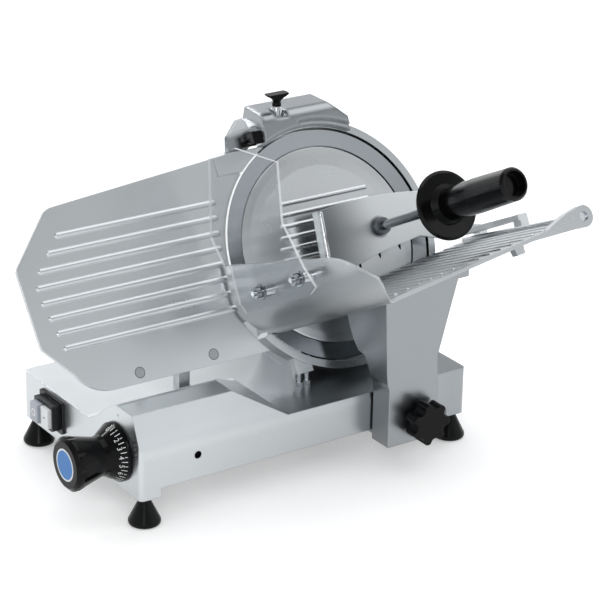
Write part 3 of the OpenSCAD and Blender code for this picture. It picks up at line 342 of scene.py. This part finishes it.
# White lacquer: bright, slightly worn filling in the marks.
white_lacquer, tree, shader = finish("white_lacquer", Base_Color=linear("#eceeee"))
grain(tree, shader, spacing_mm=0.8, depth_mm=0.003, edge_mm=0.1)
patchy(tree, shader, "Roughness", 0.4, 0.55, 3)
FIRST_NUMBER = math.radians(-1.5)
NUMBER_STEP = math.radians(19.7)
NUMBERS = 17
TICK_START = 1.4
TICK_SHORT = 3.2
TICK_LONG = 7.0
TICK_WIDTH = 0.9
TICK_THICK = 0.2
ticks = []
for half in range(2 * NUMBERS - 1):
    length = TICK_LONG if half % 2 else TICK_SHORT
    along, across, proud = pad(length, TICK_WIDTH, TICK_THICK)
    inward = TICK_START + length / 2 + along
    ticks.append(on_skirt(FIRST_NUMBER + half * NUMBER_STEP / 2, across, inward, proud))
skin("dial_ticks", np.array(ticks), white_lacquer, "dial")

NUMBER_FOOT = 11.1
NUMBER_SIZE = 8.4
points = []
faces = []
for number in range(NUMBERS):
    text = bpy.data.curves.new("number", "FONT")
    text.body = str(number)
    text.align_x = "CENTER"
    text.size = NUMBER_SIZE
    text.extrude = TICK_THICK / 2
    text.resolution_u = 4
    holder = bpy.data.objects.new("number", text)
    flat = holder.to_mesh()
    drawn = np.empty(len(flat.vertices) * 3)
    flat.vertices.foreach_get("co", drawn)
    drawn = drawn.reshape(-1, 3)
    faces += [tuple(i + len(points) for i in face.vertices) for face in flat.polygons]
    points += on_skirt(FIRST_NUMBER + number * NUMBER_STEP, drawn[:, 0], NUMBER_FOOT - drawn[:, 1],
                       drawn[:, 2]).tolist()
    holder.to_mesh_clear()
    bpy.data.objects.remove(holder)
    bpy.data.curves.remove(text)
settle("dial_numbers", points, faces, white_lacquer, "dial")

# Switch: a black moulded box on the end wall with a grey stop button standing over a white start button.
# The stop ring is printed pale and the start stroke dark.
# Switch plastic: black with a fine tooth, so its box shows as a soft sheen.
switch_plastic, tree, shader = finish("switch_plastic", Base_Color=linear("#101113"),
                                      Specular_IOR_Level=0.35)
grain(tree, shader, spacing_mm=0.8, depth_mm=0.006, edge_mm=0.8)
patchy(tree, shader, "Roughness", 0.28, 0.38, 10)
dress(switch_plastic, "switch_box")
# Grey plastic: a cool pale grey, satin.
grey_plastic, tree, shader = finish("grey_plastic", Base_Color=linear("#b4bac3"))
grain(tree, shader, spacing_mm=0.8, depth_mm=0.004)
patchy(tree, shader, "Roughness", 0.32, 0.42, 8)
dress(grey_plastic, "stop_button")
# White plastic: the brightest patch on the end wall, satin.
white_plastic, tree, shader = finish("white_plastic", Base_Color=linear("#f4f6f6"))
grain(tree, shader, spacing_mm=0.8, depth_mm=0.004)
patchy(tree, shader, "Roughness", 0.3, 0.4, 8)
dress(white_plastic, "start_button")

MARK_THICK = 0.2
STOP_FACE = np.array((-33.0, 196.5, 66.0))
STOP_RING = 3.9
STOP_STROKE = 0.9
# The ring: a flattened circle of section STOP_STROKE goes round a circle of radius STOP_RING.
turn = np.linspace(0, 2 * np.pi, 17)[:, None]
ring = np.stack([STOP_FACE[0] - MARK_THICK / 2 * np.cos(turn) + 0 * around,
                 STOP_FACE[1] + (STOP_RING + STOP_STROKE * np.sin(turn)) * np.cos(around),
                 STOP_FACE[2] + (STOP_RING + STOP_STROKE * np.sin(turn)) * np.sin(around)], axis=-1)
skin("stop_mark", ring[None] / 1000, white_lacquer, "stop_button")
START_FACE = np.array((-30.0, 176.5, 66.0))
START_STROKE = (5.0, 1.2)
along, across, proud = pad(*START_STROKE, MARK_THICK)
stroke = np.stack([START_FACE[0] - proud, START_FACE[1] + along, START_FACE[2] + across], axis=-1)
# Grey ink: a matt dark stroke on the white button.
grey_ink, tree, shader = finish("grey_ink", Base_Color=linear("#5c6168"))
grain(tree, shader, spacing_mm=0.8, depth_mm=0.002, edge_mm=0.1)
patchy(tree, shader, "Roughness", 0.45, 0.6, 2)
skin("start_mark", stroke[None] / 1000, grey_ink, "start_button")

# Gauge: a cast panel with milled ribs, brushed along its length and anodised; two screws hold its bar.
# A thin lip runs along its hollow edge by the blade, and a fine ring of painted shade marks the gap round
# each screw head.
# The bar's post goes down through the deck to a slide block that follows the cam.
# Brushed aluminium: even and pale, its reflections drawn out across the brushing.
brushed_aluminium, tree, shader = finish("brushed_aluminium", Base_Color=linear("#c8ccce"), Metallic=1.0)
grain(tree, shader, spacing_mm=0.7, depth_mm=0.002, stretch=(0.03, 1, 1), edge_mm=1.4)
patchy(tree, shader, "Roughness", 0.27, 0.34, 80)
dress(brushed_aluminium, "gauge_plate")
# Bright drawn aluminium: cleaner and sharper than the castings.
drawn_aluminium, tree, shader = finish("drawn_aluminium", Base_Color=linear("#d3d6d8"), Metallic=1.0)
grain(tree, shader, spacing_mm=0.6, depth_mm=0.001, stretch=(0.03, 1, 1), edge_mm=0.8)
patchy(tree, shader, "Roughness", 0.2, 0.28, 30)
dress(drawn_aluminium, "gauge_support", "gauge_slide")
# Dulled screw heads: a shade darker than the panel they sit in.
dulled_steel, tree, shader = finish("dulled_steel", Base_Color=linear("#a3a7aa"), Metallic=1.0)
grain(tree, shader, spacing_mm=0.8, depth_mm=0.002, edge_mm=0.4)
patchy(tree, shader, "Roughness", 0.3, 0.4, 8)
dress(dulled_steel, "gauge_screws")
dress(ground_steel, "follower_pin")
BLADE_AT = (320.0, 108.0, 235.0)
BLADE_LEAN = 62.0


def on_blade(s, t, n):
    """Points in the blade's own directions, in mm: s to the right, t up its face, n out of its face."""
    lean = math.radians(BLADE_LEAN)
    return np.stack([BLADE_AT[0] + s, BLADE_AT[1] + math.cos(lean) * t - math.sin(lean) * n,
                     BLADE_AT[2] + math.sin(lean) * t + math.cos(lean) * n], axis=-1) / 1000


LIP_ARC = (139.0, 141.3)
LIP_LEVELS = (-3.2, -2.0)
LIP_TURN = (132.6, 204.0)
# The lip: a thin four-sided strip goes along the panel's hollow edge and closes on itself at both ends.
sweep = np.radians(np.linspace(*LIP_TURN, 80))
sweep = np.concatenate([sweep[:1], sweep, sweep[-1:]])[:, None]
shut = np.ones_like(sweep)
shut[[0, -1]] = 0
section = np.array([(0, 0), (1, 0), (1, 1), (0, 1)]) - 0.5
lip_reach = np.mean(LIP_ARC) + shut * section[:, 0] * np.ptp(LIP_ARC)
lip_level = np.mean(LIP_LEVELS) + shut * section[:, 1] * np.ptp(LIP_LEVELS)
lip = on_blade(lip_reach * np.cos(sweep), lip_reach * np.sin(sweep), lip_level)
skin("gauge_lip", lip[None], brushed_aluminium, "gauge")
SCREW_PLACES = np.array([(-286.0, -94.0), (-188.0, -94.0)])[:, :, None, None]
GAP_SHADE_PROFILE = np.array([(5.95, -2.1), (6.45, -2.1), (6.45, -1.96), (5.95, -1.96), (5.95, -2.1)])
# Painted shade for the gap round each screw head: a flat four-sided ring in dark steel that goes once
# round the screw's axis.
gap_shade_rings = on_blade(SCREW_PLACES[:, 0] + GAP_SHADE_PROFILE[:, :1] * np.cos(around),
                SCREW_PLACES[:, 1] + GAP_SHADE_PROFILE[:, :1] * np.sin(around), GAP_SHADE_PROFILE[:, 1:] + 0 * around)
skin("screw_gap_shade", gap_shade_rings, blackened_steel, "gauge")

# Head: the guard ring, its web and hub are one casting, turned on the ring's face and anodised satin.
# Two bright posts stand under the ring, and the casing behind it covers the drive.
# Satin aluminium: a smooth mid grey, a little sharper than the base.
satin_aluminium, tree, shader = finish("satin_aluminium", Base_Color=linear("#bec2c4"), Metallic=1.0)
grain(tree, shader, spacing_mm=0.8, depth_mm=0.0012, edge_mm=1.2)
patchy(tree, shader, "Roughness", 0.24, 0.3, 50)
dress(satin_aluminium, "head_casting")
dress(blasted_aluminium, "motor_housing")
dress(ground_steel, "ring_posts", "blade_bearings")

# Drive: an enamelled motor turns the hollow blade shaft through a ribbed belt and two zinc pulleys.
# The casing behind the ring covers it.
# Motor enamel: dark grey and slightly uneven.
motor_enamel, tree, shader = finish("motor_enamel", Base_Color=linear("#2f3235"))
grain(tree, shader, spacing_mm=2, depth_mm=0.02)
patchy(tree, shader, "Roughness", 0.4, 0.55, 20)
dress(motor_enamel, "motor_body")
dress(moulded_rubber, "drive_belt")
dress(ground_steel, "motor_shaft", "blade_shaft")
dress(zinc_sheet, "motor_pulley", "blade_pulley")

# Blade: hard-chromed steel ground in rings round its axis, with a polished bevel.
# The rings catch light as fine arcs; a folded steel sheet behind turns the slices away.
# Blade steel: darker than the aluminium, its clearer reflections broken into fine rings.
blade_steel, tree, shader = finish("blade_steel", Base_Color=linear("#989ca0"), Metallic=1.0)
BLADE_CENTRE = tuple(along / 1000 for along in BLADE_AT)
BLADE_TILT = (math.radians(BLADE_LEAN), 0, 0)
RING_SPACING_MM = 0.9
RING_DEPTH_MM = 0.0012
place = add(tree, "TexCoord")
flat_on = add(tree, "Mapping", {"Vector": place.outputs["Object"], "Location": BLADE_CENTRE,
                                "Rotation": BLADE_TILT}, vector_type="TEXTURE")
rings = add(tree, "TexWave", {"Vector": flat_on.outputs[0],
                              "Scale": math.pi / 10 / RING_SPACING_MM * 1000,
                              "Distortion": 1.5, "Detail": 2.0, "Detail Scale": 4.0},
            wave_type="RINGS", rings_direction="Z")
rise = add(tree, "Bump", {"Height": rings.outputs["Fac"], "Distance": RING_DEPTH_MM / 1000,
                          "Strength": 1.0})
tree.links.new(rise.outputs[0], shader.inputs["Normal"])
patchy(tree, shader, "Roughness", 0.14, 0.2, 40)
dress(blade_steel, "blade")
dress(ground_steel, "blade_screws", "slice_deflector")

# Blade cover: a spun aluminium disc with a pressed edge, drawn tight by a rod through the hollow shaft.
# Its face is turned, so light lies on it in a soft fan; the rod's knob is at the back.
# Turned aluminium: pale, with broad soft light.
turned_aluminium, tree, shader = finish("turned_aluminium", Base_Color=linear("#d0d3d5"), Metallic=1.0)
grain(tree, shader, spacing_mm=0.8, depth_mm=0.001, edge_mm=1.2)
patchy(tree, shader, "Roughness", 0.26, 0.32, 50)
dress(turned_aluminium, "blade_cover")
dress(ground_steel, "cover_tie_rod")
dress(black_phenolic, "cover_knob")

# Sharpener: a cast hood over two stones, with a black wing knob on a chromed ferrule and a push button.
# The hood is polished. A brushed apron sheet on a small block closes the corner over the gauge panel.
# Polished casting: clear reflections that flow round its eased edges.
polished_casting, tree, shader = finish("polished_casting", Base_Color=linear("#9ea2a5"), Metallic=1.0)
grain(tree, shader, spacing_mm=1.2, depth_mm=0.001, edge_mm=7.0)
patchy(tree, shader, "Roughness", 0.18, 0.24, 40)
dress(polished_casting, "sharpener_hood")
dress(ground_steel, "sharpener_ferrule")
dress(black_phenolic, "sharpener_knob", "sharpener_button")
APRON_ARC = 139.2
APRON_LOW = 104.4
APRON_SHOULDER = 127.2
APRON_SIDES = np.array([(-60.0, 129.0), (-100.0, 129.0), (-125.2, 126.8), (-125.2, APRON_LOW)])
APRON_SHEET = (-1.6, -0.8)
APRON_CENTRE = (-106.0, 118.0)
FIXING = ((-98.0, -84.0), (119.5, 126.0), (-8.2, -1.2))


def slab(outline, centre, low, high):
    """A flat piece: its outline shrinks to the centre below and above, and stands between two levels."""
    scale = np.array([0, 1, 1, 0])[:, None, None]
    flat = np.array(centre) + scale * (outline - centre)
    level = np.array([low, low, high, high])[:, None] + 0 * flat[..., 0]
    return on_blade(flat[..., 0], flat[..., 1], level)


# The apron's outline: an arc round the blade from its low corner to its shoulder, then straight sides.
sweep = np.linspace(math.asin(APRON_LOW / APRON_ARC), math.asin(APRON_SHOULDER / APRON_ARC), 24)
outline = np.stack([-APRON_ARC * np.cos(sweep), APRON_ARC * np.sin(sweep)], axis=-1)
outline = np.concatenate([outline, APRON_SIDES])
apron = slab(outline, APRON_CENTRE, *APRON_SHEET)
skin("hood_apron", apron[None], brushed_aluminium, "stand")
block = np.array([(FIXING[0][i], FIXING[1][j]) for i, j in ((0, 0), (1, 0), (1, 1), (0, 1))])
fixing = slab(block, block.mean(0), *FIXING[2])
skin("apron_block", fixing[None], polished_casting, "stand")
# Bonded grit: matt brown with a coarse tooth.
bonded_grit, tree, shader = finish("bonded_grit", Base_Color=linear("#8d6f5a"))
grain(tree, shader, spacing_mm=0.6, depth_mm=0.05)
patchy(tree, shader, "Roughness", 0.85, 1.0, 4)
dress(bonded_grit, "sharpener_stones")

# Carriage: a truck slides on the guide rod inside the base and carries the column in front of it.
# The column is cast like the base; a star knob at its foot clamps it.
# Anodised casting: the same soft reflections as the base, in a deeper grey that is painted shade,
# carrying on the base's darkening at its far end.
anodised_casting, tree, shader = finish("anodised_casting", Base_Color=linear("#999da0"), Metallic=1.0)
grain(tree, shader, spacing_mm=0.5, depth_mm=0.0012, edge_mm=1.8)
patchy(tree, shader, "Roughness", 0.3, 0.36, 60)
dress(anodised_casting, "carriage_truck", "carriage_column")
dress(sintered_bronze, "truck_bushes")
dress(ground_steel, "roller_axle")
dress(white_plastic, "support_roller")
dress(black_phenolic, "star_knob")

# Tray: one casting with an upright wall, a wide bend and a floor of ribs, anodised satin.
# Its far end is bored for the pusher's rod.
# Polished tray: light grey, dark in the bend and bright on its rims.
polished_tray, tree, shader = finish("polished_tray", Base_Color=linear("#bfc2c4"), Metallic=1.0)
grain(tree, shader, spacing_mm=0.8, depth_mm=0.001, edge_mm=1.2)
patchy(tree, shader, "Roughness", 0.3, 0.36, 50)
dress(polished_tray, "tray")

# Hand shield: a sawn sheet of clear polycarbonate, smoky where one looks through its faces.
# Its edges carry a painted highlight and show as white lines; studs with spacers and dark thumb nuts hold
# it.
# Clear sheet: faces that only dull what is behind them, and edges painted white as a highlight.
clear_sheet, tree, shader = finish("clear_polycarbonate")
SHEET_CLEAR = 0.15
EDGE_CLEAR = 0.62
faced = add(tree, "NewGeometry")
sides = add(tree, "SeparateXYZ", {0: faced.outputs["True Normal"]})
flat_x = add(tree, "Math", {0: sides.outputs["X"]}, operation="ABSOLUTE")
edge = add(tree, "MapRange", {"Value": flat_x.outputs[0], "From Min": 0.9, "From Max": 0.5})
opaque = add(tree, "MapRange", {"Value": edge.outputs[0], "To Min": SHEET_CLEAR, "To Max": EDGE_CLEAR})
sheet_tint_and_edge_highlight = add(tree, "Mix", {"Factor": edge.outputs[0], "A": linear("#6f7c84"), "B": linear("#f4f7f8")},
           data_type="RGBA")
tree.links.new(opaque.outputs[0], shader.inputs["Alpha"])
tree.links.new(sheet_tint_and_edge_highlight.outputs["Result"], shader.inputs["Base Color"])
patchy(tree, shader, "Roughness", 0.02, 0.06, 25)
dress(clear_sheet, "hand_shield")
dress(ground_steel, "shield_studs")
# Dark chrome: mirrors its surroundings and reads darker than the castings.
dark_chrome, tree, shader = finish("dark_chrome", Base_Color=linear("#85898d"), Metallic=1.0)
grain(tree, shader, spacing_mm=1.5, depth_mm=0.0008, edge_mm=0.4)
patchy(tree, shader, "Roughness", 0.1, 0.16, 15)
dress(dark_chrome, "shield_nuts")

# Pusher: a cast plate with spikes and a rolled flange swings on a slide that runs along a chromed rod.
# A steel handle rod carries a black grip with a guard disc at its foot.
dress(ground_steel, "pusher_rod")
dress(blackened_steel, "pusher_spikes")
dress(white_plastic, "pusher_bushes")
# Tumbled casting: pale, with wide reflections; painted shade deepens it beside the flange, and it is
# darker round the handle's socket.
SHADED_TO = 0.3
OPEN_FROM = 0.38
SOCKET_ROOT = (0.378, 0.11035, 0.23941)
SOCKET_REACH = 0.0105
SOCKET_FADE = 0.004
tumbled_casting, tree, shader = finish("tumbled_casting", Metallic=1.0)
grain(tree, shader, spacing_mm=0.7, depth_mm=0.0015, edge_mm=1.4)
patchy(tree, shader, "Roughness", 0.4, 0.46, 40)
# Painted shade: the plate darkens towards the flange, while the flange's own faces stay pale.
place = add(tree, "TexCoord")
run = add(tree, "SeparateXYZ", {0: place.outputs["Object"]})
painted_shading_ramp = add(tree, "MapRange", {"Value": run.outputs["X"], "From Min": SHADED_TO, "From Max": OPEN_FROM},
            interpolation_type="SMOOTHSTEP")
faced = add(tree, "SeparateXYZ", {0: place.outputs["Normal"]})
flange = add(tree, "Math", {0: faced.outputs["X"]}, operation="ABSOLUTE")
pale = add(tree, "Math", {0: painted_shading_ramp.outputs[0], 1: flange.outputs[0]}, operation="MAXIMUM")
painted_shading_tone = add(tree, "Mix", {"Factor": pale.outputs[0], "A": linear("#8f9396"), "B": linear("#e2e5e6")},
           data_type="RGBA")
square_on = add(tree, "Mapping", {"Vector": place.outputs["Object"], "Location": SOCKET_ROOT,
                                  "Rotation": BLADE_TILT}, vector_type="TEXTURE")
flattened = add(tree, "VectorMath", {0: square_on.outputs[0], 1: (1, 1, 0)}, operation="MULTIPLY")
off_axis = add(tree, "VectorMath", {0: flattened.outputs[0]}, operation="LENGTH")
beyond = add(tree, "MapRange", {"Value": off_axis.outputs["Value"], "From Min": SOCKET_REACH,
                                "From Max": SOCKET_REACH + SOCKET_FADE})
socketed = add(tree, "Mix", {"Factor": beyond.outputs[0], "A": linear("#6f7377"),
                             "B": painted_shading_tone.outputs["Result"]}, data_type="RGBA")
tree.links.new(socketed.outputs["Result"], shader.inputs["Base Color"])
dress(tumbled_casting, "pusher_plate")
BEAD_ENDS = np.array([(-29.5, -28.0), (-24.5, 37.6)])
BEAD_OUT = 35.6
BEAD_RADIUS = 3.1
# The bead: circles along the flange's free edge, drawn in to a point at both ends as a quarter round.
reach = BEAD_ENDS[1] - BEAD_ENDS[0]
along = np.concatenate([BEAD_RADIUS * (1 - np.cos(np.linspace(0, np.pi / 2, 7))),
                        np.linalg.norm(reach) - BEAD_RADIUS * (1 - np.cos(np.linspace(np.pi / 2, 0, 7)))])
wide = BEAD_RADIUS * np.sin(np.concatenate([np.linspace(0, np.pi / 2, 7), np.linspace(np.pi / 2, 0, 7)]))
forward = reach / np.linalg.norm(reach)
centre = BEAD_ENDS[0] + along[:, None] * forward
side = wide[:, None] * np.cos(around)
bead = on_blade(centre[:, :1] + side * forward[1], centre[:, 1:] - side * forward[0],
                BEAD_OUT + wide[:, None] * np.sin(around))
rolled_edge = skin("pusher_bead", bead[None], drawn_aluminium, "pusher")
rolled_edge.data.shade_smooth()
dress(dark_chrome, "pusher_handle")
# Moulded black plastic: glossy, so its barrel carries one long highlight.
moulded_plastic, tree, shader = finish("moulded_plastic", Base_Color=linear("#060607"),
                                       Specular_IOR_Level=0.22)
grain(tree, shader, spacing_mm=1.0, depth_mm=0.01, edge_mm=1.0)
patchy(tree, shader, "Roughness", 0.1, 0.16, 15)
dress(moulded_plastic, "pusher_grip")
